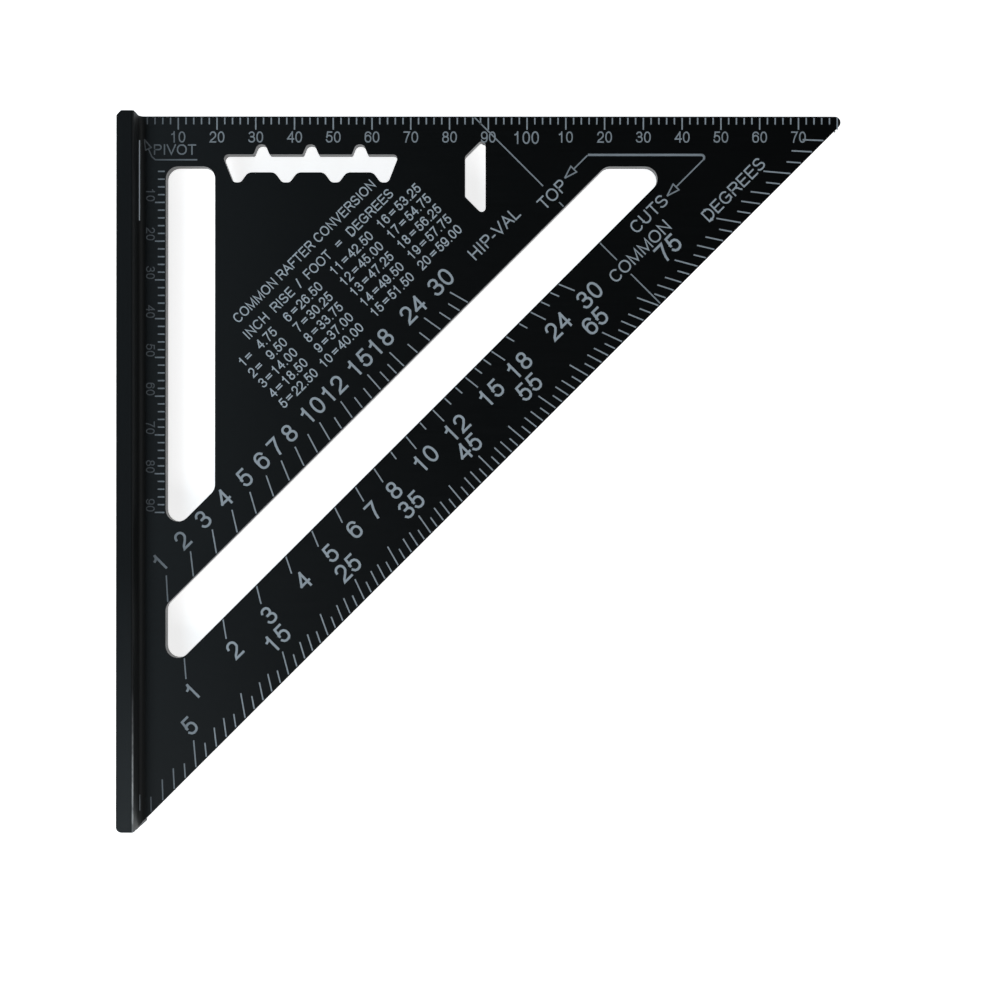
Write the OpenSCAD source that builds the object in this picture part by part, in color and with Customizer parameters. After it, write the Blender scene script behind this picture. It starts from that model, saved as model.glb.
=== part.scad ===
// Speed square (rafter square), metric, lying flat with its front face up.
//
// Frame: the origin is the pivot corner, where the ruler edge meets the inner
// face of the fence, half way through the blade. The ruler edge runs along +X,
// the fence runs along -Y, and +Z points out of the front face.
// Places on the blade are given as [u, v]: u mm out along the ruler edge and
// v mm down along the fence, so a point is at X = u, Y = -v.

/* [Blade] */
// Length of each leg, from the pivot corner to the sharp corner of the triangle
leg = 183; // [178:0.5:190]
// Thickness of the blade
blade_t = 3.8; // [3:0.1:5]
// Corner radius of the tip at the far end of the ruler edge
tip_r = 1.5; // [0.5:0.1:3]
// Radius of the blend between blade and fence
root_r = 1.5; // [0.8:0.1:2.5]

/* [Fence] */
// Thickness of the fence
fence_t = 4.5; // [4:0.1:6]
// Full height of the fence, across both faces of the blade
fence_h = 20; // [16:0.5:26]
// How far the fence runs past the sharp corner of the blade
fence_over = 0.5; // [0.1:0.1:2]
// Depth of the groove along the fence that takes the root of the blade
groove = 1; // [0.5:0.1:1.5]
// Radius along the four long edges of the fence
fence_edge_r = 0.6; // [0.2:0.1:1]
// Bevel on the outer corner of the fence at the pivot end
fence_bevel = 1.3; // [0.5:0.1:2.5]
// Corner radius on the outer corner of the fence at its far end
fence_end_r = 1.6; // [0.5:0.1:2]

/* [Slots] */
// Width of the long slot and of the diagonal slot
slot_w = 12.7; // [10:0.1:14]
// Corner radius of both slots, the radius of their cutter
cutter_r = 3.175; // [2:0.005:4]
// Distance from the fence to both slots
slot_u = 6.8; // [6.6:0.1:8]
// Distance from the ruler edge to both slots
slot_v = 12.9; // [12:0.1:14]
// Width of the rim between the diagonal slot and the long side
rim_w = 22.6; // [18:0.1:25]
// Width of the web between the long slot and the diagonal slot
web_w = 12.2; // [10:0.1:14]

/* [Scribing window] */
// Pitch of the scribing notches on each side of the window
notch_pitch = 12.7; // [12:0.1:13]
// Place of the first lower notch along the ruler edge
notch_u = 25.1; // [25:0.05:26]
// Distance from the ruler edge to the upper side of the window
window_v = 9.8; // [9.5:0.1:10.2]
// Clear height of the window
window_h = 4.6; // [4.2:0.1:5]
// Depth of a notch, measured from the side of the window
notch_depth = 2.6; // [2:0.1:2.8]
// Left side of the small hanging hole
hole_u = 84; // [82:0.1:85]
// Width of the small hanging hole
hole_w = 5.3; // [4.6:0.1:6]
// Top of the short side of the hanging hole
hole_v = 10.3; // [10:0.1:11]
// Length of the short side of the hanging hole
hole_h = 10.4; // [8:0.1:12]

/* [Graduations] */
// Width of every marked line
line_w = 0.35; // [0.25:0.05:0.5]
// Width of the line that joins the two cut pointers
leader_w = 0.6; // [0.35:0.05:0.7]
// Thickness of the marking on the blade
mark_t = 0.05; // [0.03:0.01:0.1]
// Gap between a line and the edge that it starts from
edge_gap = 0.3; // [0.2:0.05:0.5]
// Division of both rulers
rule_step = 2; // [1, 2, 5]
// Last division of the ruler on the edge
edge_rule_end = 180; // [100:10:180]
// Last division of the ruler beside the long slot
slot_rule_end = 90; // [50:10:90]
// Smallest roof rise marked on the rafter scales, in inches a foot
rise_first = 1; // [1:1:4]
// Largest roof rise marked on the rafter scales, in inches a foot
rise_last = 30; // [24:2:30]

/* [Hidden] */

metal = [0.06, 0.065, 0.075];
marking = [0.60, 0.66, 0.72];
arc_steps = 8;                       // straight pieces in one rounded corner
clear = 1;                           // how far cutters and blanks run past a surface
diagonal = sqrt(2);                  // u + v grows by this much for each mm across the diagonal
face_z = blade_t / 2;                // height of the front face
root_z = face_z + root_r;            // height of the root, where its blends meet the fence
fence_len = leg + fence_over;

// Both sides of the diagonal slot, and the slanted end of the long slot, as values of u + v
slot_outer = leg - rim_w * diagonal;
slot_inner = slot_outer - slot_w * diagonal;
long_slot_end = slot_inner - web_w * diagonal;

// Scribing window: shape of one notch and of the slanted ends
upper_notches = 3;
lower_notches = 4;
upper_half_mouth = 2.05;
lower_half_mouth = 2.9;
half_tip = 1.0;
notch_r = 1.3;
upper_shoulder_r = 0.5;
lower_shoulder_r = 2.0;
window_end = 3.8;                    // from the outer lower notch to the upper corner of the window
window_r = 1.1;
hole_r = 1;

// Edge and slot rulers
edge_tick = 2.05;
edge_tick_ten = 3.4;
slot_rule_v = 12.2;                  // where the ruler beside the slot starts
slot_tick = 2.05;
slot_tick_ten = 2.8;

// Degree scale: depth of the lines, measured square to the long side
degree_long = 5.6;
degree_medium = 4.2;
degree_short = 3.1;
degree_last = 88;

// Rafter scales: rises in inches for each foot of run
foot = 12;
rise_single = 18;                    // every inch is marked up to here, then every second inch
labelled_rises = [1, 2, 3, 4, 5, 6, 7, 8, 10, 12, 15, 18, 24, 30];
hip_unlabelled_long = 9;             // on the hip scale this rise has a long line but no numeral
common_long = 4.4;
common_short = 2.6;
hip_long = 5.4;
hip_short = 3.6;

// Line square to the long side, its ends, and the gaps where it passes the scales
square_u = 86.2;                     // where it starts on the ruler edge
hip_gap = [122.1, 130.4];            // as values of u + v
degree_gap = [160.2, 167.4];

// Pointers: open arrow heads on bent leader lines
arrow_len = 3.3;
arrow_w = 2.1;
pivot_arrow = [2.7, 1.6];            // length and width of the smaller arrow head by the pivot
pivot_tip = [1.2, 5.9];
pivot_bend = [3.2, 10.4];
pivot_line_v = 11.2;
pivot_line_end = 14.9;
leader_v = 9.9;
bend_r = 0.7;                        // round bend of the leader above the lower cut pointer
top_tip = [109.7, 15.9];
cuts_tip = [136.1, 20.5];

// Distance from p to q
function gap(p, q) = norm(q - p);

// Corner [u, v, r] of an outline, as the points of its arc
function corner(before, at, after) =
    let (
        p = [at.x, at.y],
        a = ([before.x, before.y] - p) / gap(p, [before.x, before.y]),
        b = ([after.x, after.y] - p) / gap(p, [after.x, after.y]),
        half = acos(a * b) / 2,
        middle = p + (a + b) / norm(a + b) * at[2] / sin(half),
        first = p + a * at[2] / tan(half) - middle,
        last = p + b * at[2] / tan(half) - middle,
        start = atan2(first.y, first.x),
        turn = atan2(last.y, last.x) - start,
        sweep = turn > 180 ? turn - 360 : turn < -180 ? turn + 360 : turn
    )
    [for (i = [0 : arc_steps]) middle + at[2] * [cos(start + sweep * i / arc_steps),
                                                 sin(start + sweep * i / arc_steps)]];

// Outline with a radius at each corner that states one
function rounded(path) =
    [for (i = [0 : len(path) - 1])
        let (n = len(path), at = path[i])
        each at[2] > 0 ? corner(path[(i + n - 1) % n], at, path[(i + 1) % n]) : [[at.x, at.y]]];

// Places on the blade, as a plane outline in X and Y
function on_blade(path) = [for (p = path) [p.x, -p.y]];

// Place at distance along a line from the pivot, at an angle to the fence
function ray(angle, distance) = distance * [sin(angle), cos(angle)];

// Distance from the pivot, at an angle to the fence, to the diagonal where u + v = sum
function reach(angle, sum) = sum / (sin(angle) + cos(angle));

// Length at that angle of a line that is deep mm deep, square to the diagonal
function slant(angle, deep) = deep / cos(angle - 45);

function is_labelled(rise) = len(search(rise, labelled_rises)) > 0;

function rises() =
    [for (rise = [rise_first : rise_last]) if (rise <= rise_single || rise % 2 == 0) rise];

// One line of the markings between two places on the blade
module stroke(from, to, width = line_w) {
    span = to - from;
    translate([from.x, -from.y])
        rotate(atan2(-span.y, span.x))
        translate([0, -width / 2])
        square([norm(span), width]);
}

// Open arrow head: tip at a place on the blade, shaft coming from another
module arrow(tip, tail, size = [arrow_len, arrow_w]) {
    along = (tail - tip) / gap(tail, tip);
    across = [-along.y, along.x] * size[1] / 2;
    left = tip + along * size[0] + across;
    right = tip + along * size[0] - across;
    stroke(tip, left);
    stroke(tip, right);
    stroke(left + across * line_w / size[1], right - across * line_w / size[1]);
}

// Plane markings laid on the front face, or mirrored on the back face
module on_face(back = false) {
    color(marking)
        mirror([0, 0, back ? 1 : 0])
        translate([0, 0, face_z])
        linear_extrude(mark_t)
        children();
}

// Cutter right through the blade
module through() {
    translate([0, 0, -root_z - clear])
        linear_extrude(2 * (root_z + clear))
        children();
}

module long_slot() {
    right = slot_u + slot_w;
    polygon(on_blade(rounded([
        [slot_u, slot_v, cutter_r],
        [right, slot_v, cutter_r],
        [right, long_slot_end - right, cutter_r],
        [slot_u, long_slot_end - slot_u, cutter_r]
    ])));
}

module diagonal_slot() {
    polygon(on_blade(rounded([
        [slot_inner - slot_v, slot_v, cutter_r],
        [slot_outer - slot_v, slot_v, cutter_r],
        [slot_u, slot_outer - slot_u, cutter_r],
        [slot_u, slot_inner - slot_u, cutter_r]
    ])));
}

// One notch as four corners of the outline, pointing up or down from a side of the window
function notch(centre, side_v, tip_v, half_mouth, shoulder_r) = [
    [centre - half_mouth, side_v, shoulder_r],
    [centre - half_tip, tip_v, notch_r],
    [centre + half_tip, tip_v, notch_r],
    [centre + half_mouth, side_v, shoulder_r]
];

module scribing_window() {
    low_v = window_v + window_h;
    last_u = notch_u + (lower_notches - 1) * notch_pitch;
    upper = [for (i = [0 : upper_notches - 1])
        each notch(notch_u + (i + 0.5) * notch_pitch, window_v, window_v - notch_depth,
                   upper_half_mouth, upper_shoulder_r)];
    lower = [for (i = [lower_notches - 2 : -1 : 1])
        let (n = notch(notch_u + i * notch_pitch, low_v, low_v + notch_depth, lower_half_mouth,
                       lower_shoulder_r))
        each [n[3], n[2], n[1], n[0]]];
    right_end = notch(last_u, low_v, low_v + notch_depth, lower_half_mouth, lower_shoulder_r);
    left_end = notch(notch_u, low_v, low_v + notch_depth, lower_half_mouth, lower_shoulder_r);
    polygon(on_blade(rounded(concat(
        [[notch_u - window_end, window_v, window_r]],
        upper,
        [[last_u + window_end, window_v, window_r]],
        [right_end[2], right_end[1], right_end[0]],
        lower,
        [left_end[3], left_end[2], left_end[1]]
    ))));
}

module hanging_hole() {
    polygon(on_blade(rounded([
        [hole_u, hole_v, hole_r],
        [hole_u + hole_w, hole_v - hole_w, hole_r],
        [hole_u + hole_w, hole_v + hole_h + hole_w, hole_r],
        [hole_u, hole_v + hole_h, hole_r]
    ])));
}

// Section of the blade across the fence, in X and Z: its blends, and the root in the groove
module blade_section() {
    blend = [for (i = [0 : arc_steps])
        [root_r - root_r * cos(90 * i / arc_steps), root_z - root_r * sin(90 * i / arc_steps)]];
    lower_blend = [for (i = [arc_steps : -1 : 0]) [blend[i].x, -blend[i].y]];
    polygon(concat(
        [[-groove, root_z]],
        blend,
        [[leg + clear, face_z], [leg + clear, -face_z]],
        lower_blend,
        [[-groove, -root_z]]
    ));
}

module blade() {
    color(metal)
    difference() {
        intersection() {
            through() polygon(on_blade(rounded([
                [-groove, 0, 0],
                [leg, 0, tip_r],
                [0, leg, 0],
                [-groove, leg, 0]
            ])));
            translate([0, clear, 0])
                rotate([90, 0, 0])
                linear_extrude(leg + 2 * clear)
                blade_section();
        }
        through() long_slot();
        through() diagonal_slot();
        through() scribing_window();
        through() hanging_hole();
    }
}

module fence() {
    half_h = fence_h / 2;
    color(metal)
    difference() {
        intersection() {
            translate([0, clear, 0])
                rotate([90, 0, 0])
                linear_extrude(fence_len + 2 * clear)
                polygon(rounded([
                    [-fence_t, -half_h, fence_edge_r],
                    [0, -half_h, fence_edge_r],
                    [0, half_h, fence_edge_r],
                    [-fence_t, half_h, fence_edge_r]
                ]));
            translate([0, 0, -half_h - clear])
                linear_extrude(fence_h + 2 * clear)
                polygon(on_blade(rounded([
                    [0, 0, 0],
                    [0, fence_len, 0],
                    [-fence_t, fence_len, fence_end_r],
                    [-fence_t, fence_bevel, 0],
                    [-fence_t + fence_bevel, 0, 0]
                ])));
        }
        translate([-groove, -leg, -root_z])
            cube([groove + clear, leg + clear, 2 * root_z]);
    }
}

module edge_rule() {
    for (u = [rule_step : rule_step : edge_rule_end])
        stroke([u, edge_gap], [u, u % 10 == 0 ? edge_tick_ten : edge_tick]);
}

module slot_rule() {
    for (v = [rule_step : rule_step : slot_rule_end])
        stroke([slot_u - (v % 10 == 0 ? slot_tick_ten : slot_tick), slot_rule_v + v],
               [slot_u - edge_gap, slot_rule_v + v]);
}

module degree_scale() {
    for (angle = [1 : degree_last]) {
        part_of_five = angle % 5;
        deep = part_of_five == 0 ? degree_long
            : part_of_five == 2 || part_of_five == 3 ? degree_medium : degree_short;
        edge = reach(angle, leg);
        stroke(ray(angle, edge - slant(angle, deep)), ray(angle, edge - slant(angle, edge_gap)));
    }
}

// Common rafters: lines start at the outer side of the diagonal slot
module common_scale() {
    for (rise = rises()) {
        angle = atan(rise / foot);
        edge = reach(angle, slot_outer);
        deep = is_labelled(rise) ? common_long : common_short;
        stroke(ray(angle, edge + slant(angle, edge_gap)), ray(angle, edge + slant(angle, deep)));
    }
}

// Hip and valley rafters run across the diagonal of a square foot
module hip_valley_scale() {
    for (rise = rises()) {
        angle = atan(rise / (foot * diagonal));
        edge = reach(angle, slot_inner);
        deep = is_labelled(rise) || rise == hip_unlabelled_long ? hip_long : hip_short;
        stroke(ray(angle, edge - slant(angle, deep)), ray(angle, edge - slant(angle, edge_gap)));
    }
}

// Line square to the long side, in the four stretches between slot and scales
module square_line() {
    ends = [
        [square_u + 2 * edge_gap, hip_gap[0]],
        [hip_gap[1], slot_inner - edge_gap * diagonal],
        [slot_outer + edge_gap * diagonal, degree_gap[0]],
        [degree_gap[1], leg - edge_gap * diagonal]
    ];
    for (stretch = ends)
        stroke([stretch[0] + square_u, stretch[0] - square_u] / 2,
               [stretch[1] + square_u, stretch[1] - square_u] / 2);
}

module pivot_pointer() {
    along = (pivot_bend - pivot_tip) / gap(pivot_bend, pivot_tip);
    arrow(pivot_tip, pivot_bend, pivot_arrow);
    stroke(pivot_tip + along * pivot_arrow[0], pivot_bend);
    stroke(pivot_bend, [pivot_bend.x + 0.9, pivot_line_v]);
    stroke([pivot_bend.x + 0.8, pivot_line_v], [pivot_line_end, pivot_line_v]);
}

module cut_pointers() {
    down_left = [-1, 1] / diagonal;
    top_bend = [top_tip.x + top_tip.y - leader_v, leader_v];
    cuts_bend = [cuts_tip.x + cuts_tip.y - leader_v, leader_v];
    bend_end = cuts_bend - [bend_r / tan(22.5), 0];
    bend_centre = bend_end + [0, bend_r];
    arrow(top_tip, top_bend);
    arrow(cuts_tip, cuts_bend);
    stroke(top_bend + down_left * leader_w / 4, top_tip - down_left * arrow_len);
    stroke(top_bend, bend_end, leader_w);
    stroke(cuts_bend + down_left * bend_r / tan(22.5), cuts_tip - down_left * arrow_len);
    for (i = [0 : arc_steps - 1])
        stroke(bend_centre + bend_r * [sin(135 * i / arc_steps), -cos(135 * i / arc_steps)],
               bend_centre + bend_r * [sin(135 * (i + 1) / arc_steps), -cos(135 * (i + 1) / arc_steps)],
               leader_w);
}

blade();
fence();
on_face() edge_rule();  // front_edge_rule
on_face() slot_rule();  // front_slot_rule
on_face() degree_scale();  // front_degree_scale
on_face() common_scale();  // front_common_scale
on_face() hip_valley_scale();  // front_hip_valley_scale
on_face() square_line();  // front_square_line
on_face() pivot_pointer();  // front_pivot_pointer
on_face() cut_pointers();  // front_cut_pointers
on_face(true) edge_rule();  // back_edge_rule
on_face(true) slot_rule();  // back_slot_rule
on_face(true) degree_scale();  // back_degree_scale
on_face(true) common_scale();  // back_common_scale
on_face(true) hip_valley_scale();  // back_hip_valley_scale
on_face(true) square_line();  // back_square_line
on_face(true) pivot_pointer();  // back_pivot_pointer
on_face(true) cut_pointers();  // back_cut_pointers
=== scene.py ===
import math

import bmesh
import bpy
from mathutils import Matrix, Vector


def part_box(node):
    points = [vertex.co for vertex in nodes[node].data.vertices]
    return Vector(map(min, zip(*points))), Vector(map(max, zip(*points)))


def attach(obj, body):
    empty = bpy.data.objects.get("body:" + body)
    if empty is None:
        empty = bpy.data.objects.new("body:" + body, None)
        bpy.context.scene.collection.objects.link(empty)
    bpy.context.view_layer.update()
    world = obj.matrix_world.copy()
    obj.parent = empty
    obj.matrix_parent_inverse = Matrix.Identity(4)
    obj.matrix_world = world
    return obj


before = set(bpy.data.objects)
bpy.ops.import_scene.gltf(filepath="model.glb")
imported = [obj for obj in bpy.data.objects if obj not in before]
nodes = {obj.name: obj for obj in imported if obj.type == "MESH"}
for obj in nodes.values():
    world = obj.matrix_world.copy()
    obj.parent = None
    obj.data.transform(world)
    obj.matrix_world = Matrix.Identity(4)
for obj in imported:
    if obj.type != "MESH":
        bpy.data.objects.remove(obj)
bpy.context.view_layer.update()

MM = 0.001

# ---------------------------------------------------------------- sizes taken from the frame, in mm
blade_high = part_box("blade")[1]
fence_low, fence_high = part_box("fence")
scale_low, scale_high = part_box("front_edge_rule")
SPAN = blade_high.x / MM                # from the fence to the rounded tip of the ruler edge
FACE_Z = scale_low.z / MM               # front face of the blade
MARK_TOP = scale_high.z / MM            # top of every raised mark
ROOT_Z = blade_high.z / MM              # top of the fillet where the blade meets the fence
ROOT_R = ROOT_Z - FACE_Z
FENCE_TOP = fence_high.z / MM
FLOOR_Z = fence_low.z / MM              # the fence rests on the floor
FLOOR_GAP = 0.05                        # keeps the floor clear of the fence's lower face
SUNK = 0.02                             # lettering starts this far inside the blade
LAYER = 0.004                           # strokes that cross lie this much below one another


# ---------------------------------------------------------------- looks
BLADE_TONE = (0.0030, 0.0033, 0.0034)
FENCE_TONE = (0.0034, 0.0037, 0.0039)
MARK_TONE = (0.46, 0.525, 0.58)
WORN_TONE = (0.10, 0.105, 0.11)         # bevelled edges, where the black coat has rubbed thin
FAR_EDGE_HIGHLIGHT_TONE = (0.31, 0.33, 0.34)        # painted highlight along the inner top edge of the fence
FAR_END_SHEEN_TONE = (0.030, 0.033, 0.034)       # painted sheen: the fence is made paler towards its far end
CORNER_LIGHT_TONE = (0.011, 0.0125, 0.013)    # paler tone painted into the inner corner between blade and fence as light, where the coat is also matt
# how far the fence's colour moves towards the painted sheen at its far end
FAR_END_SHEEN_SHARE = 0.5
CORNER_ROUGH = 0.22                     # added to the roughness in the inner corner
BLADE_GRAIN = (0.06, 5.0, 1.0)          # stretch of the drawn grain along each axis
FENCE_GRAIN = (5.0, 0.05, 5.0)
FADE = 0.65                             # share of a mark's tone that is lost right beside the fence
FADE_NEAR, FADE_FAR = 3.0, 20.0         # mm from the fence over which the marks gain their full tone
FLOOR_GLOW = 0.8                        # the floor shines a little, so that shadows stay faint

METALLIC = 0.4
MARK_GLOSS = 0.25
# Relief of the surfaces: strength, and depth in mm
GRAIN_RELIEF = (0.06, 0.05)
SPECKLE_RELIEF = (0.07, 0.04)
MARK_RELIEF = (0.15, 0.03)

# Stretches in mm over which a look sets in, from none to full
CORNER_ON_FENCE = (-0.6, -0.2)          # along X
CORNER_ON_BLADE = (1.9, 1.2)            # along X
# where the painted highlight on the inner top edge of the fence lies
EDGE_HIGHLIGHT_INWARDS = (-0.45, -0.25)         # along X
EDGE_HIGHLIGHT_UPWARDS = (FENCE_TOP - 0.5, FENCE_TOP - 0.35)
EDGE_HIGHLIGHT_ALONG = (-147.0, -172.0)         # along Y
# the painted sheen sets in towards the far end of the fence
FAR_END_SHEEN_ALONG = (-115.0, -183.0)           # along Y


# ---------------------------------------------------------------- materials
def new_material(name):
    mat = bpy.data.materials.new(name)
    mat.use_nodes = True
    tree = mat.node_tree
    tree.nodes.clear()
    out = tree.nodes.new("ShaderNodeOutputMaterial")
    shader = tree.nodes.new("ShaderNodeBsdfPrincipled")
    tree.links.new(shader.outputs[0], out.inputs[0])
    return mat, tree, shader


def node(tree, kind, **values):
    made = tree.nodes.new(kind)
    for key, value in values.items():
        if key in made.inputs:
            made.inputs[key].default_value = value
        else:
            setattr(made, key, value)
    return made


def position(tree, scale):
    """Object coordinates in mm, stretched by scale."""
    where = tree.nodes.new("ShaderNodeTexCoord")
    mapping = tree.nodes.new("ShaderNodeMapping")
    mapping.inputs["Scale"].default_value = [s / MM for s in scale]
    tree.links.new(where.outputs["Object"], mapping.inputs["Vector"])
    return mapping.outputs["Vector"]


def noise(tree, scale, detail=2.0, roughness=0.5, at=(1, 1, 1)):
    made = node(tree, "ShaderNodeTexNoise", Scale=scale, Detail=detail, Roughness=roughness)
    tree.links.new(position(tree, at), made.inputs["Vector"])
    return made.outputs["Fac"]


def remap(tree, value, low, high, to_low, to_high):
    made = node(tree, "ShaderNodeMapRange")
    for key, number in (("From Min", low), ("From Max", high), ("To Min", to_low), ("To Max", to_high)):
        made.inputs[key].default_value = number
    tree.links.new(value, made.inputs["Value"])
    return made.outputs["Result"]


def math_node(tree, operation, a, b=None):
    made = node(tree, "ShaderNodeMath", operation=operation)
    for socket, value in zip(made.inputs, (a, b)):
        if isinstance(value, (int, float)):
            socket.default_value = value
        elif value is not None:
            tree.links.new(value, socket)
    return made.outputs[0]


def blend_colour(tree, factor, first, second):
    made = node(tree, "ShaderNodeMix", data_type="RGBA")
    sockets = [s for s in made.inputs if s.type == "RGBA"]
    for socket, value in zip(sockets, (first, second)):
        if isinstance(value, (tuple, list)):
            socket.default_value = (*value, 1)
        else:
            tree.links.new(value, socket)
    tree.links.new(factor, made.inputs["Factor"])
    return [s for s in made.outputs if s.type == "RGBA"][0]


def along(tree, axis):
    """Place along one axis of the frame, in mm."""
    split = tree.nodes.new("ShaderNodeSeparateXYZ")
    tree.links.new(position(tree, (1, 1, 1)), split.inputs[0])
    return split.outputs[axis]


def set_in(tree, axis, stretch):
    """0 before the stretch of the axis, 1 after it; the stretch may run either way."""
    first, last = stretch
    if first < last:
        return remap(tree, along(tree, axis), first, last, 0.0, 1.0)
    return remap(tree, along(tree, axis), last, first, 1.0, 0.0)


def relief(tree, height, strength_and_depth, over=None):
    """Bump from a height pattern, on top of another bump if one is given."""
    strength, depth = strength_and_depth
    made = node(tree, "ShaderNodeBump", Strength=strength, Distance=depth * MM)
    tree.links.new(height, made.inputs["Height"])
    if over is not None:
        tree.links.new(over, made.inputs["Normal"])
    return made.outputs["Normal"]


def shades(tone, *shares):
    """The tone made darker or paler by each share."""
    return [tuple(c * share for c in tone) for share in shares]


def near_corner(tree):
    """1 in the inner corner between blade and fence, where the coat is matt and a paler tone is painted in
    as light, 0 away from it.
    """
    return math_node(tree, "MULTIPLY", set_in(tree, "X", CORNER_ON_FENCE),
                     set_in(tree, "X", CORNER_ON_BLADE))


def rubbed_run(tree):
    """1 where a highlight is painted on the inner top edge of the fence towards its far end, in patches that
    run together.
    """
    edge = math_node(tree, "MULTIPLY", set_in(tree, "X", EDGE_HIGHLIGHT_INWARDS),
                     set_in(tree, "Z", EDGE_HIGHLIGHT_UPWARDS))
    patches = remap(tree, noise(tree, 0.35), 0.35, 0.6, 0.45, 1.0)
    return math_node(tree, "MULTIPLY", edge,
                     math_node(tree, "MULTIPLY", set_in(tree, "Y", EDGE_HIGHLIGHT_ALONG), patches))


def anodised(name, tone, grain_at, rough, gloss, wear=0.0, lit_far_end=False):
    """Black anodised aluminium: fine drawn grain, faint cloudiness, hairline scuffs, paler worn edges, a
    paler tone painted into the inner corner as light and, on the fence, a painted sheen and a painted edge
    highlight towards its far end.
    """
    mat, tree, shader = new_material(name)
    shader.inputs["Metallic"].default_value = METALLIC
    shader.inputs["Specular IOR Level"].default_value = gloss
    cloud = noise(tree, 0.011, 1.0, 0.4)
    grain = noise(tree, 1.0, 3.0, 0.6, grain_at)
    speckle = noise(tree, 2.6, 2.0, 0.6)
    dark, pale, lifted = shades(tone, 0.9, 1.12, 1.5)
    colour = blend_colour(tree, remap(tree, cloud, 0.3, 0.7, 0.0, 1.0), dark, pale)
    colour = blend_colour(tree, remap(tree, speckle, 0.58, 0.8, 0.0, 0.5), colour, lifted)
    if wear:
        rubbed = remap(tree, noise(tree, 0.3, 4.0, 0.65), 0.42, 0.68, 0.0, wear)
        colour = blend_colour(tree, rubbed, colour, WORN_TONE)
    corner = near_corner(tree)
    # painted light: a paler tone in the inner corner between blade and fence
    colour = blend_colour(tree, corner, colour, CORNER_LIGHT_TONE)
    if lit_far_end:
        # painted sheen: the fence is made paler towards its far end
        sheen = math_node(tree, "MULTIPLY", set_in(tree, "Y", FAR_END_SHEEN_ALONG), FAR_END_SHEEN_SHARE)
        colour = blend_colour(tree, sheen, colour, FAR_END_SHEEN_TONE)
        # painted highlight: a pale streak along the inner top edge of the fence towards its far end
        colour = blend_colour(tree, rubbed_run(tree), colour, FAR_EDGE_HIGHLIGHT_TONE)
    tree.links.new(colour, shader.inputs["Base Color"])
    roughness = math_node(tree, "ADD", remap(tree, grain, 0.3, 0.7, rough - 0.05, rough + 0.05),
                          remap(tree, cloud, 0.3, 0.7, -0.015, 0.015))
    roughness = math_node(tree, "ADD", roughness, math_node(tree, "MULTIPLY", corner, CORNER_ROUGH))
    tree.links.new(roughness, shader.inputs["Roughness"])
    bumps = relief(tree, speckle, SPECKLE_RELIEF, over=relief(tree, grain, GRAIN_RELIEF))
    tree.links.new(bumps, shader.inputs["Normal"])
    return mat


def engraved_mark(name, share, depth, fade=FADE):
    """Laser mark: matt pale oxide with a faintly uneven burn, in a share of the full tone."""
    tone = shades(MARK_TONE, share)[0]
    mat, tree, shader = new_material(name)
    shader.inputs["Metallic"].default_value = 0.0
    shader.inputs["Specular IOR Level"].default_value = MARK_GLOSS
    patchy = noise(tree, 0.25, 3.0, 0.6)
    dots = noise(tree, 6.0, 2.0, 0.7)
    dark, thin = shades(tone, 1 - depth, 1 - 1.6 * depth)
    colour = blend_colour(tree, remap(tree, patchy, 0.3, 0.7, 0.0, 1.0), dark, tone)
    colour = blend_colour(tree, remap(tree, dots, 0.35, 0.7, 0.6, 0.0), colour, thin)
    weak = remap(tree, along(tree, "X"), FADE_NEAR, FADE_FAR, fade, 0.0)
    colour = blend_colour(tree, weak, colour, BLADE_TONE)
    tree.links.new(colour, shader.inputs["Base Color"])
    tree.links.new(remap(tree, dots, 0.3, 0.7, 0.62, 0.82), shader.inputs["Roughness"])
    tree.links.new(relief(tree, dots, MARK_RELIEF), shader.inputs["Normal"])
    return mat


def floor_material():
    mat, tree, shader = new_material("studio_floor")
    shader.inputs["Base Color"].default_value = (0.86, 0.86, 0.86, 1)
    shader.inputs["Emission Color"].default_value = (1, 1, 1, 1)
    shader.inputs["Emission Strength"].default_value = FLOOR_GLOW
    tree.links.new(remap(tree, noise(tree, 0.02), 0.3, 0.7, 0.75, 0.85), shader.inputs["Roughness"])
    return mat


BLADE_MAT = anodised("black_anodised_blade", BLADE_TONE, BLADE_GRAIN, 0.33, 0.22)
BLADE_EDGE_MAT = anodised("worn_blade_edge", BLADE_TONE, BLADE_GRAIN, 0.30, 0.26, wear=0.5)
FENCE_MAT = anodised("black_anodised_fence", FENCE_TONE, FENCE_GRAIN, 0.36, 0.14, lit_far_end=True)
FENCE_EDGE_MAT = anodised("worn_fence_edge", FENCE_TONE, FENCE_GRAIN, 0.32, 0.20, wear=0.5)


FINE_MARK_MAT = engraved_mark("fine_laser_mark", 1.0, 0.12)          # table, ruler beside the slot
MARK_MAT = engraved_mark("pale_laser_mark", 0.84, 0.14)              # numerals and names of the scales
LINE_MARK_MAT = engraved_mark("line_laser_mark", 0.72, 0.16)         # divisions
SOFT_MARK_MAT = engraved_mark("soft_laser_mark", 0.66, 0.2)          # ruler numerals, pivot
LEADER_MARK_MAT = engraved_mark("leader_laser_mark", 0.58, 0.16)     # pointers and long lines
DIM_MARK_MAT = engraved_mark("dim_laser_mark", 0.62, 0.25)           # numerals beside the fence
FILLET_MARK_MAT = engraved_mark("fillet_laser_mark", 1.0, 0.1, fade=0.0)     # long line on the root


def paint(obj, *mats):
    obj.data.materials.clear()
    for mat in mats:
        obj.data.materials.append(mat)


# ---------------------------------------------------------------- softened edges
SHARP_EDGE = 35                         # degrees; only sharper edges are softened
JOINT_FROM, JOINT_TO = -1.2, 0.2        # mm along X: the joint between blade and fence stays as it is
JOINT_HEIGHT = ROOT_Z + 0.1
WELD_REACH = 0.002                      # mm
FLAT_ANGLE = 0.6                        # degrees; flatter than this and faces are merged
BLADE_SOFTNESS, FENCE_SOFTNESS = 0.3, 0.35


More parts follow.
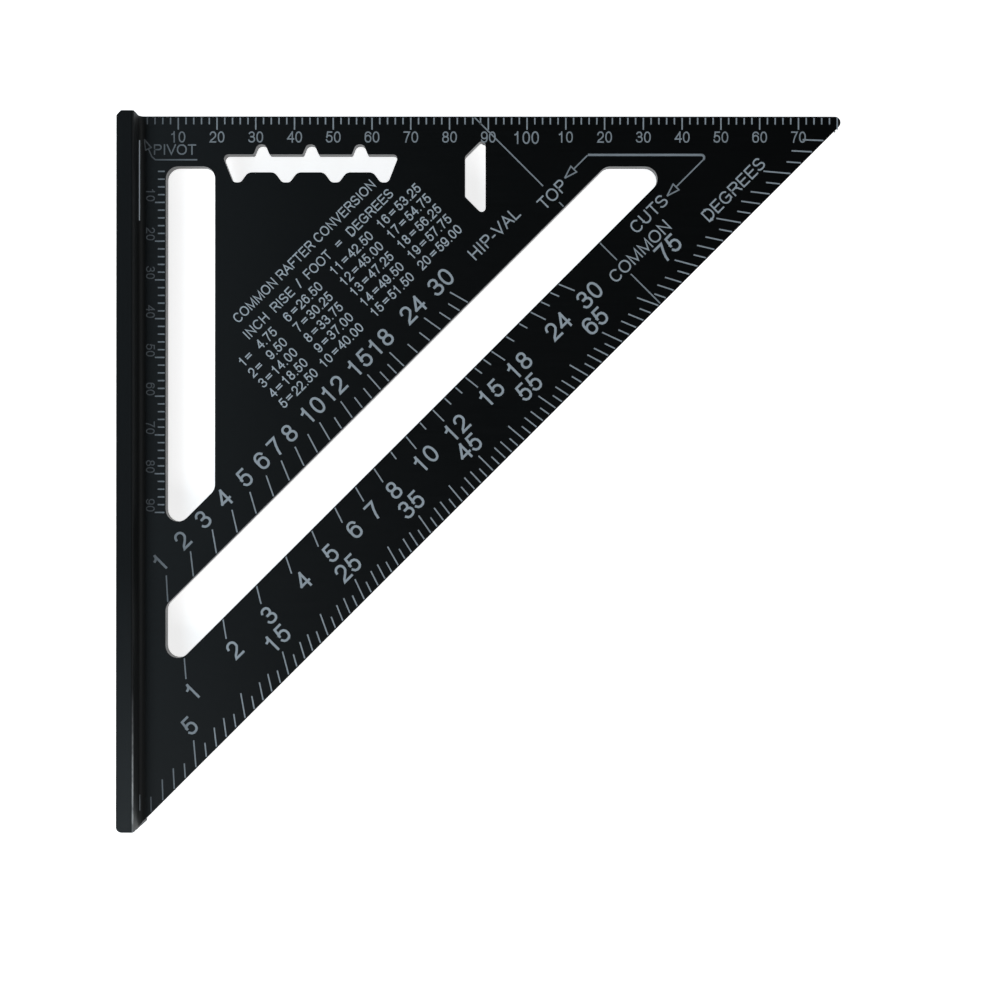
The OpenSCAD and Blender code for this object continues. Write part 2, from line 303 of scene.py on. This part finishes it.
def bevel_weights():
    """Node group: marks the sharp edges to be softened, leaving out the joint between blade and fence."""
    group = bpy.data.node_groups.new("mark_sharp_edges", "GeometryNodeTree")
    group.interface.new_socket("Geometry", in_out="INPUT", socket_type="NodeSocketGeometry")
    group.interface.new_socket("Geometry", in_out="OUTPUT", socket_type="NodeSocketGeometry")
    start = group.nodes.new("NodeGroupInput")
    end = group.nodes.new("NodeGroupOutput")
    angle = group.nodes.new("GeometryNodeInputMeshEdgeAngle")
    place = group.nodes.new("GeometryNodeInputPosition")
    split = group.nodes.new("ShaderNodeSeparateXYZ")
    group.links.new(place.outputs[0], split.inputs[0])
    sharp = math_node(group, "GREATER_THAN", angle.outputs[0], math.radians(SHARP_EDGE))
    height = math_node(group, "ABSOLUTE", split.outputs["Z"])
    low = math_node(group, "LESS_THAN", height, JOINT_HEIGHT * MM)
    left = math_node(group, "LESS_THAN", split.outputs["X"], JOINT_TO * MM)
    right = math_node(group, "GREATER_THAN", split.outputs["X"], JOINT_FROM * MM)
    joint = math_node(group, "MULTIPLY", math_node(group, "MULTIPLY", low, left), right)
    weight = math_node(group, "MULTIPLY", sharp, math_node(group, "SUBTRACT", 1.0, joint))
    store = group.nodes.new("GeometryNodeStoreNamedAttribute")
    store.data_type, store.domain = "FLOAT", "EDGE"
    store.inputs["Name"].default_value = "bevel_weight_edge"
    group.links.new(start.outputs[0], store.inputs["Geometry"])
    group.links.new(weight, store.inputs["Value"])
    drop = group.nodes.new("GeometryNodeRemoveAttribute")
    drop.inputs["Name"].default_value = "custom_normal"
    group.links.new(store.outputs[0], drop.inputs["Geometry"])
    group.links.new(drop.outputs[0], end.inputs[0])
    return group


def soften(obj, width):
    """Merges the flat faces, then bevels the sharp edges in the object's second material."""
    weld = obj.modifiers.new("weld", "WELD")
    weld.merge_threshold = WELD_REACH * MM
    flat = obj.modifiers.new("flat", "DECIMATE")
    flat.decimate_type = "DISSOLVE"
    flat.angle_limit = math.radians(FLAT_ANGLE)
    marks = obj.modifiers.new("marks", "NODES")
    marks.node_group = bevel_weights()
    bevel = obj.modifiers.new("bevel", "BEVEL")
    bevel.limit_method = "WEIGHT"
    bevel.width = width * MM
    bevel.segments = 2
    bevel.use_clamp_overlap = True
    bevel.harden_normals = True
    bevel.material = 1


# ---------------------------------------------------------------- stroke lettering
SQUARENESS = 0.9                        # 1 gives a true ellipse
MITRE_LIMIT = 0.45                      # keeps the outer corner of a sharp turn from running out


def arc(cx, cy, rx, ry, start, end, steps):
    """Points of an oval arc that is a little squarer than an ellipse."""
    points = []
    for i in range(steps + 1):
        t = math.radians(start + (end - start) * i / steps)
        c, s = math.cos(t), math.sin(t)
        points.append((cx + rx * math.copysign(abs(c) ** SQUARENESS, c),
                       cy + ry * math.copysign(abs(s) ** SQUARENESS, s)))
    return points


def six():
    return [arc(.52, .64, .52, .36, 28, 180, 8) + [(0, .33)], arc(.5, .33, .5, .33, 90, 450, 16)]


def turned(strokes):
    return [[(1 - x, 1 - y) for x, y in stroke] for stroke in strokes]


BOWL = arc(.60, .745, .40, .255, 90, -90, 8)

# strokes of each glyph in a unit square: x across, y up
GLYPHS = {
    "0": [arc(.5, .5, .5, .5, 90, 450, 20)],
    "1": [[(0, .76), (.45, .79), (.80, .86), (1, 1)], [(1, 1), (1, 0)]],
    "2": [arc(.5, .70, .48, .30, 172, -28, 11) + [(.62, .36), (.16, .16), (0, 0), (1, 0)]],
    "3": [arc(.48, .76, .43, .24, 160, -90, 9), arc(.48, .265, .52, .265, 90, -165, 9),
          [(.34, .525), (.52, .525)]],
    "4": [[(.78, 0), (.78, 1)], [(.78, 1), (0, .30)], [(0, .30), (1, .30)]],
    "5": [[(.94, 1), (.20, 1), (.08, .47)], arc(.48, .33, .52, .33, 142, -160, 10)],
    "6": six(),
    "7": [[(0, 1), (1, 1), (.62, .56), (.42, .24), (.34, 0)]],
    "8": [arc(.5, .765, .42, .235, 90, 450, 16), arc(.5, .265, .5, .265, 90, 450, 16)],
    "9": turned(six()),
    "A": [[(0, 0), (.5, 1), (1, 0)], [(.17, .34), (.83, .34)]],
    "C": [arc(.51, .5, .51, .5, 42, 318, 16)],
    "D": [[(0, 0), (0, 1), (.45, 1)] + arc(.45, .5, .55, .5, 90, -90, 12) + [(.45, 0), (0, 0)]],
    "E": [[(1, 1), (0, 1), (0, 0), (1, 0)], [(0, .52), (.92, .52)]],
    "F": [[(1, 1), (0, 1), (0, 0)], [(0, .50), (.86, .50)]],
    "G": [arc(.51, .5, .51, .5, 42, 325, 16) + [(.98, .17), (.98, .46), (.56, .46)]],
    "H": [[(0, 0), (0, 1)], [(1, 0), (1, 1)], [(0, .52), (1, .52)]],
    "I": [[(.5, 0), (.5, 1)]],
    "L": [[(0, 1), (0, 0), (1, 0)]],
    "M": [[(0, 0), (0, 1), (.5, .04), (1, 1), (1, 0)]],
    "N": [[(0, 0), (0, 1), (1, 0), (1, 1)]],
    "O": [arc(.5, .5, .5, .5, 90, 450, 20)],
    "P": [[(0, 0), (0, 1), (.60, 1)] + BOWL[1:] + [(0, .49)]],
    "R": [[(0, 0), (0, 1), (.58, 1)] + BOWL[1:] + [(0, .49)], [(.55, .49), (.80, .32), (.90, .10), (1, 0)]],
    "S": [arc(.49, .75, .44, .25, 18, 270, 10) + arc(.5, .25, .5, .25, 90, -160, 10)[1:]],
    "T": [[(0, 1), (1, 1)], [(.5, 1), (.5, 0)]],
    "U": [[(0, 1), (0, .36)] + arc(.5, .36, .5, .36, 180, 360, 10) + [(1, 1)]],
    "V": [[(0, 1), (.5, 0), (1, 1)]],
    "-": [[(0, .34), (1, .34)]],
    "/": [[(0, 0), (1, 1)]],
    "=": [[(0, .36), (1, .36)], [(0, .64), (1, .64)]],
    ".": [[(0, 0), (1, 0)]],
}

# left edge of the ink, right edge of the ink and advance, as parts of the capital height
WIDTHS = {
    "0": (.06, .71, .774), "1": (.13, .47, .774), "2": (.05, .70, .774), "4": (.03, .73, .774),
    "A": (.01, .92, .929), "C": (.07, .95, 1.005), "D": (.11, .94, 1.005), "E": (.11, .86, .929),
    "F": (.11, .79, .850), "G": (.07, 1.0, 1.083), "H": (.11, .90, 1.005), "I": (.13, .26, .387),
    "L": (.10, .73, .774), "M": (.10, 1.06, 1.160), "N": (.11, .90, 1.005), "O": (.06, 1.02, 1.083),
    "P": (.11, .87, .929), "R": (.11, .95, 1.005), "S": (.06, .86, .929), "T": (.03, .82, .850),
    "U": (.11, .89, 1.005), "V": (.01, .92, .929), "-": (.05, .42, .464), "/": (.0, .38, .387),
    "=": (.08, .73, .813), ".": (.13, .27, .387), " ": (0, 0, .387),
}
for digit in "356789":
    WIDTHS[digit] = WIDTHS["0"]


def ink_span(text):
    """Left and right end of the ink of a line of text, for a capital height of 1."""
    x, left, right = 0.0, None, 0.0
    for glyph in text:
        low, high, advance = WIDTHS[glyph]
        if glyph != " ":
            left = x + low if left is None else left
            right = x + high
        x += advance
    return left, right


def ribbon(bm, points, half, to_place, z_low, z_high):
    """A flat raised band of even width along the points, closed on every side."""
    path = [Vector(p) for p in points]
    loop = (path[0] - path[-1]).length < 1e-4
    if loop:
        path = path[:-1]
    count = len(path)
    sides = []
    for i, p in enumerate(path):
        before = path[i - 1] if loop or i > 0 else None
        after = path[(i + 1) % count] if loop or i < count - 1 else None
        d1 = (p - before).normalized() if before is not None else (after - p).normalized()
        d2 = (after - p).normalized() if after is not None else d1
        n1, n2 = Vector((-d1.y, d1.x)), Vector((-d2.y, d2.x))
        middle = (n1 + n2).normalized() if (n1 + n2).length > 1e-6 else n1
        reach = half / max(middle.dot(n1), MITRE_LIMIT)
        end = Vector((0, 0))
        if not loop and i == 0:
            end = -d1 * half
        if not loop and i == count - 1:
            end = d2 * half
        sides.append((p + middle * reach + end, p - middle * reach + end))
    rings = [[bm.verts.new(to_place(q, z)) for q, z in
              ((left, z_high), (right, z_high), (right, z_low), (left, z_low))]
             for left, right in sides]
    pairs = list(zip(rings, rings[1:])) + ([(rings[-1], rings[0])] if loop else [])
    for a, b in pairs:
        for k in range(4):
            bm.faces.new((a[k], a[(k + 1) % 4], b[(k + 1) % 4], b[k]))
    if not loop:
        bm.faces.new(rings[0])
        bm.faces.new(list(reversed(rings[-1])))


# Reading directions, and the usual thickness of a stroke as a part of the capital height
DIAGONAL = math.radians(45)
DOWN = math.radians(-90)
WEIGHT = 0.13
NAME_WEIGHT = 0.125


class Line:
    """One line of lettering: text, capital height and where the middle of its ink stands on the baseline."""
    def __init__(self, text, cap, middle, baseline, read=0.0, weight=WEIGHT, stretch=1.0):
        self.text, self.cap, self.middle, self.baseline = text, cap, middle, baseline
        self.read, self.weight, self.stretch = read, weight, stretch


def write(bm, line, side):
    """Draws a line of text. middle and baseline are measured along and across the reading direction."""
    onward = Vector((math.cos(line.read), math.sin(line.read)))
    up = Vector((-onward.y, onward.x))
    origin = onward * line.middle + up * line.baseline
    left, right = ink_span(line.text)
    half = line.weight * line.cap / 2
    x = -(left + right) / 2

    def to_place(q, z):
        flat = origin + onward * (side * q.x * line.stretch) + up * q.y
        return Vector((flat.x, flat.y, side * z)) * MM

    for glyph in line.text:
        low, high, advance = WIDTHS[glyph]
        for layer, stroke in enumerate(GLYPHS.get(glyph, ())):
            width = max((high - low) * line.cap - 2 * half, 0.0)
            points = [((x + low) * line.cap + half + px * width,
                       half + py * (line.cap - 2 * half)) for px, py in stroke]
            ribbon(bm, points, half, to_place, FACE_Z - SUNK, MARK_TOP - layer * LAYER)
        x += advance


def mesh_piece(name, bm, mat):
    """Turns the mesh into a named piece that rides on the one body."""
    bmesh.ops.recalc_face_normals(bm, faces=bm.faces)
    mesh = bpy.data.meshes.new(name)
    bm.to_mesh(mesh)
    bm.free()
    obj = bpy.data.objects.new(name, mesh)
    bpy.context.scene.collection.objects.link(obj)
    paint(obj, mat)
    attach(obj, "root")


def lettering(name, lines, side, mat):
    bm = bmesh.new()
    for line in lines:
        write(bm, line, side)
    mesh_piece(name, bm, mat)


def slanted(text, cap, a, b, weight=WEIGHT, stretch=1.0):
    """A line parallel to the long side: a along it, b its baseline's distance from the pivot."""
    return Line(text, cap, a, -b, DIAGONAL, weight, stretch)


def slanted_between(text, cap, a_low, a_high, b, weight=NAME_WEIGHT):
    """The same, stretched so that its ink runs from a_low to a_high."""
    left, right = ink_span(text)
    return slanted(text, cap, (a_low + a_high) / 2, b, weight, (a_high - a_low) / ((right - left) * cap))


# Rise or angle, with the middle of its numeral along the long side
HIP_NUMERALS = ((1, -77.9), (2, -69.4), (3, -61.85), (4, -54.3), (5, -46.7), (6, -40.5), (7, -35.4),
                (8, -30.4), (10, -21.8), (12, -14.15), (15, -4.6), (18, 3.0), (24, 14.7), (30, 24.8))
COMMON_NUMERALS = ((1, -95.5), (2, -79.9), (3, -67.3), (4, -54.85), (5, -44.8), (6, -36.1), (7, -29.2),
                   (8, -21.7), (10, -10.0), (12, 1.2), (15, 13.85), (18, 24.0), (24, 38.2), (30, 49.6))
DEGREE_NUMERALS = ((5, -102.0), (15, -69.9), (25, -44.3), (35, -21.2), (45, -0.3), (55, 21.7),
                   (65, 45.8), (75, 72.5))
# Distances of baselines from the pivot, square to the long side
HIP_BASE, COMMON_BASE, DEGREE_BASE = 87.5, 117.0, 122.8
TITLE_BASE, HEADING_BASE, FIRST_ROW_BASE = 55.95, 60.8, 64.9
ROW_PITCH = 3.74
# Capital heights and strokes
NUMERAL_CAP = 4.7
EDGE_CAP, EDGE_WEIGHT, EDGE_STRETCH = 2.9, 0.12, 0.92
HUNDRED_CAP, HUNDRED_STRETCH = 3.3, 0.9
SLOT_CAP = 2.3
NAME_CAP = 3.3
PIVOT_CAP = 2.7
TABLE_CAP = 2.6
# Middles of the ruler's 100 and of the name at the pivot, out from the fence
HUNDRED_MIDDLE, PIVOT_MIDDLE = 99.9, 9.15
# Rulers: baselines below the edge and out from the fence, and where the ruler beside the slot starts
EDGE_BASE, HUNDRED_BASE, PIVOT_BASE = 6.75, 7.1, 9.9
SLOT_BASE, SLOT_START, SLOT_LEAD = 1.7, 12.2, 1.85
# Conversion table
ENTRY_STRETCH = 0.91
SLIM_DIGIT_GAP = 0.4                    # a last "1" stands this far inside its digit's width
ROUNDED_UP = (9, 10, 15)
# Per column of the table: right end of the rise, middle of the equals sign, right end of the angle
TABLE_COLUMNS = ((-25.3, -23.8, -14.25), (-8.8, -7.1, 2.35), (9.8, 11.4, 20.8), (27.0, 28.65, 38.2))


def edge_numbers():
    marks = [(str(n), n) for n in range(10, 100, 10)] + [(str(n), 100 + n) for n in range(10, 80, 10)]
    lines = [Line(text, EDGE_CAP, u, -EDGE_BASE, weight=EDGE_WEIGHT, stretch=EDGE_STRETCH)
             for text, u in marks]
    hundred = Line("100", HUNDRED_CAP, HUNDRED_MIDDLE, -HUNDRED_BASE,
                   weight=EDGE_WEIGHT, stretch=HUNDRED_STRETCH)
    return lines + [hundred]


def slot_numbers():
    return [Line(str(n), SLOT_CAP, SLOT_START + n - SLOT_LEAD, SLOT_BASE, DOWN)
            for n in range(10, 100, 10)]


def scale_numbers(pairs, base):
    return [slanted(str(n), NUMERAL_CAP, a, base) for n, a in pairs]


def scale_names():
    """Each with the left and right end of its ink along the long side, and its baseline."""
    return [
        slanted_between("HIP-VAL", NAME_CAP, 35.1, 51.7, 87.7),
        slanted_between("TOP", NAME_CAP, 56.8, 65.4, 91.2),
        slanted_between("CUTS", NAME_CAP, 69.3, 81.0, 112.3),
        slanted_between("COMMON", NAME_CAP, 56.5, 76.8, 117.5),
        slanted_between("DEGREES", NAME_CAP, 84.7, 105.5, 123.3),
    ]


def table_angle(rise):
    """Degrees to the nearest quarter; the printed table takes the next quarter up at three rises."""
    quarters = round(math.degrees(math.atan(rise / 12)) * 4)
    return (quarters + (rise in ROUNDED_UP)) / 4


def table_entry(text, right_end, base):
    left, right = ink_span(text)
    if text.endswith("1"):
        right_end -= SLIM_DIGIT_GAP
    middle = right_end - (right - left) * TABLE_CAP * ENTRY_STRETCH / 2
    return slanted(text, TABLE_CAP, middle, base, stretch=ENTRY_STRETCH)


def table_lines():
    """Roof rise in inches to a foot, against the angle in degrees."""
    heading = (("INCH", -20.6, -13.1), ("RISE", -10.9, -3.8), ("/", -1.9, -0.9), ("FOOT", 1.2, 9.8),
               ("=", 12.3, 14.0), ("DEGREES", 16.8, 32.2))
    lines = [slanted_between("COMMON RAFTER CONVERSION", TABLE_CAP, -19.7, 30.5, TITLE_BASE, WEIGHT)]
    lines += [slanted_between(text, TABLE_CAP, low, high, HEADING_BASE, WEIGHT)
              for text, low, high in heading]
    for rise in range(1, 21):
        column, row = divmod(rise - 1, 5)
        base = FIRST_ROW_BASE + ROW_PITCH * row
        rise_end, equals_at, angle_end = TABLE_COLUMNS[column]
        lines.append(table_entry(str(rise), rise_end, base))
        lines.append(slanted("=", TABLE_CAP, equals_at, base))
        lines.append(table_entry(f"{table_angle(rise):.2f}", angle_end, base))
    return lines


# Marks on the rounded root: start and end down the fence, then nearest and farthest from the fence
ZERO_LINE = (174.9, 179.0, 0.2, 0.4)
ROOT_LINE = (6.3, 27.0, 0.05, 0.25)
FILLET_LIFTS = (-0.01, 0.03)            # lower and upper side of the mark above the metal
FILLET_STEPS = 4


def fillet_line(name, side, place, mat):
    """A thin mark that lies on the rounded root between the blade and the fence."""
    v_start, v_end, u_low, u_high = place
    bm = bmesh.new()
    rows = []
    for i in range(FILLET_STEPS + 1):
        u = u_low + (u_high - u_low) * i / FILLET_STEPS
        turn = math.acos((ROOT_R - u) / ROOT_R)
        row = []
        for lift in FILLET_LIFTS:
            reach = ROOT_R - lift
            x = ROOT_R - reach * math.cos(turn)
            z = ROOT_Z - reach * math.sin(turn)
            row.append([bm.verts.new(Vector((x, -v, side * z)) * MM) for v in (v_start, v_end)])
        rows.append(row)
    for a, b in zip(rows, rows[1:]):
        bm.faces.new((a[1][0], a[1][1], b[1][1], b[1][0]))
        bm.faces.new((a[0][1], a[0][0], b[0][0], b[0][1]))
        bm.faces.new((a[0][0], a[1][0], b[1][0], b[0][0]))
        bm.faces.new((a[1][1], a[0][1], b[0][1], b[1][1]))
    for row in (rows[0], rows[-1]):
        bm.faces.new((row[0][0], row[0][1], row[1][1], row[1][0]))
    mesh_piece(name, bm, mat)


# ---------------------------------------------------------------- build the object
paint(nodes["blade"], BLADE_MAT, BLADE_EDGE_MAT)
paint(nodes["fence"], FENCE_MAT, FENCE_EDGE_MAT)
for name, obj in nodes.items():
    if "pointer" in name or "square_line" in name:
        paint(obj, LEADER_MARK_MAT)
    elif name not in ("blade", "fence"):
        paint(obj, FINE_MARK_MAT if "slot_rule" in name else LINE_MARK_MAT)
soften(nodes["blade"], BLADE_SOFTNESS)
soften(nodes["fence"], FENCE_SOFTNESS)

for face, side in (("front", 1), ("back", -1)):
    lettering(face + "_edge_numbers", edge_numbers(), side, SOFT_MARK_MAT)
    lettering(face + "_slot_numbers", slot_numbers(), side, DIM_MARK_MAT)
    lettering(face + "_hip_numbers", scale_numbers(HIP_NUMERALS, HIP_BASE), side, MARK_MAT)
    lettering(face + "_common_numbers", scale_numbers(COMMON_NUMERALS, COMMON_BASE), side, MARK_MAT)
    lettering(face + "_degree_numbers", scale_numbers(DEGREE_NUMERALS, DEGREE_BASE), side, MARK_MAT)
    lettering(face + "_scale_names", scale_names(), side, MARK_MAT)
    pivot_name = Line("PIVOT", PIVOT_CAP, PIVOT_MIDDLE, -PIVOT_BASE)
    lettering(face + "_pivot_name", [pivot_name], side, SOFT_MARK_MAT)
    fillet_line(face + "_zero_degree_line", side, ZERO_LINE, FINE_MARK_MAT)
lettering("front_rafter_table", table_lines(), 1, FINE_MARK_MAT)
fillet_line("front_pivot_root_line", 1, ROOT_LINE, FILLET_MARK_MAT)


# ---------------------------------------------------------------- studio
# The surroundings by height, from 0 on the level to 1 straight above
HORIZON_GLOW = (0.02, 0.12)             # the bright horizon dies away
SKY_DARKENS = (0.40, 0.80)              # the rest grows dark
WORLD_SIDE = 0.55                       # strength from the side
WORLD_ZENITH = 0.025                    # strength from straight above, which keeps the black faces dark
FLOOR_REACH = 20.0                      # half the side of the floor, in metres
TARGET = (0.09, -0.09, 0.0)             # middle of the blade, in metres, where the lights aim
CAMERA_PLACE = (0.09379, -0.09928, 0.50393)
CAMERA_TURN = (0.039, 0.081, 0.036)     # degrees
CAMERA_LENS, CAMERA_SENSOR = 70.06, 36.0
# Softboxes: name, place and size in metres, power in watts, colour
SOFTBOXES = (
    ("left_softbox", (-0.29, -0.10, 0.77), (1.0, 0.38), 2.5, (0.70, 0.88, 1.0)),
    ("right_softbox", (1.05, -0.15, 0.42), (0.9, 0.4), 2.2, (1, 1, 1)),
    ("lower_softbox", (-0.10, -0.62, 0.68), (0.6, 0.3), 2.6, (1, 1, 1)),
)


def make_floor():
    bm = bmesh.new()
    bmesh.ops.create_grid(bm, x_segments=2, y_segments=2, size=FLOOR_REACH)
    mesh = bpy.data.meshes.new("floor")
    bm.to_mesh(mesh)
    bm.free()
    floor = bpy.data.objects.new("floor", mesh)
    bpy.context.scene.collection.objects.link(floor)
    floor.location = (SPAN * MM / 2, -SPAN * MM / 2, (FLOOR_Z - FLOOR_GAP) * MM)
    paint(floor, floor_material())


def softbox(name, place, size, power, colour):
    data = bpy.data.lights.new(name, "AREA")
    data.color = colour
    data.shape = "RECTANGLE"
    data.size, data.size_y = size
    data.energy = power
    light = bpy.data.objects.new(name, data)
    bpy.context.scene.collection.objects.link(light)
    light.location = place
    aim = Vector(TARGET) - Vector(place)
    light.rotation_euler = aim.to_track_quat("-Z", "Y").to_euler()


def make_world():
    """Bright at the horizon and from the sides, dark straight above."""
    world = bpy.data.worlds.new("studio")
    bpy.context.scene.world = world
    world.use_nodes = True
    tree = world.node_tree
    tree.nodes.clear()
    out = tree.nodes.new("ShaderNodeOutputWorld")
    back = tree.nodes.new("ShaderNodeBackground")
    where = tree.nodes.new("ShaderNodeTexCoord")
    split = tree.nodes.new("ShaderNodeSeparateXYZ")
    tree.links.new(where.outputs["Generated"], split.inputs[0])
    horizon = remap(tree, split.outputs["Z"], *HORIZON_GLOW, 1.0, 0.0)
    sky = remap(tree, split.outputs["Z"], *SKY_DARKENS, WORLD_SIDE, WORLD_ZENITH)
    tree.links.new(math_node(tree, "MAXIMUM", horizon, sky), back.inputs["Strength"])
    tree.links.new(back.outputs[0], out.inputs[0])


def make_camera():
    data = bpy.data.cameras.new("camera")
    data.lens = CAMERA_LENS
    data.sensor_width = CAMERA_SENSOR
    data.clip_start = 0.01
    camera = bpy.data.objects.new("camera", data)
    bpy.context.scene.collection.objects.link(camera)
    camera.location = CAMERA_PLACE
    camera.rotation_euler = [math.radians(d) for d in CAMERA_TURN]
    bpy.context.scene.camera = camera


make_floor()
make_world()
for box in SOFTBOXES:
    softbox(*box)
make_camera()
bpy.context.scene.view_settings.view_transform = "Standard"
